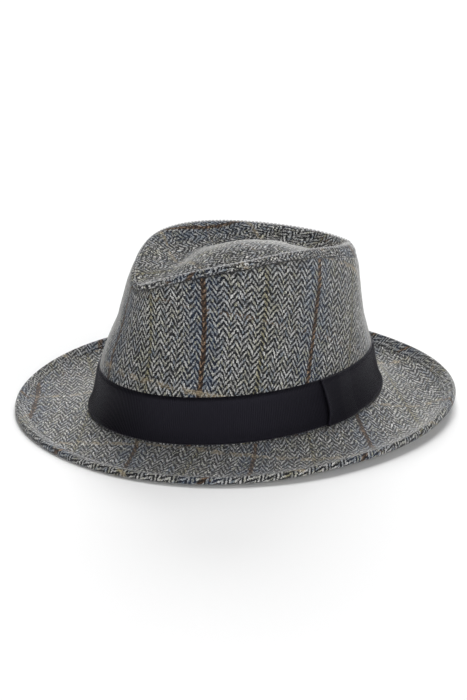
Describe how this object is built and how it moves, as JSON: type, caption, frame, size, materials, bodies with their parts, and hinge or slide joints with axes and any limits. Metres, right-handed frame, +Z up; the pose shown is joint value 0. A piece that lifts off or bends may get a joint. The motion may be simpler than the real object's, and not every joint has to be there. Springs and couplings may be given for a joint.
{
  "type": "fedora",
  "caption": "Tweed fedora with a teardrop crown, a snap brim with a bound edge, a grosgrain ribbon and a flat bow at its side.",
  "frame": {"origin": "on the surface that the hat rests on, under the middle of its box", "axes": "-Y towards the front of the hat, +X towards the wearer's left, +Z up"},
  "size_m": [0.2856, 0.3044, 0.1188],
  "materials": {
    "tweed": "matt grey wool herringbone tweed with a brown, olive and blue overcheck",
    "grosgrain": "black ribbed grosgrain with a low sheen"
  },
  "bodies": {
    "root": {"crown_side": "tweed", "crown_tip": "tweed", "brim": "tweed", "brim_binding": "tweed", "hat_band": "grosgrain", "bow": "grosgrain"}
  },
  "joints": []
}
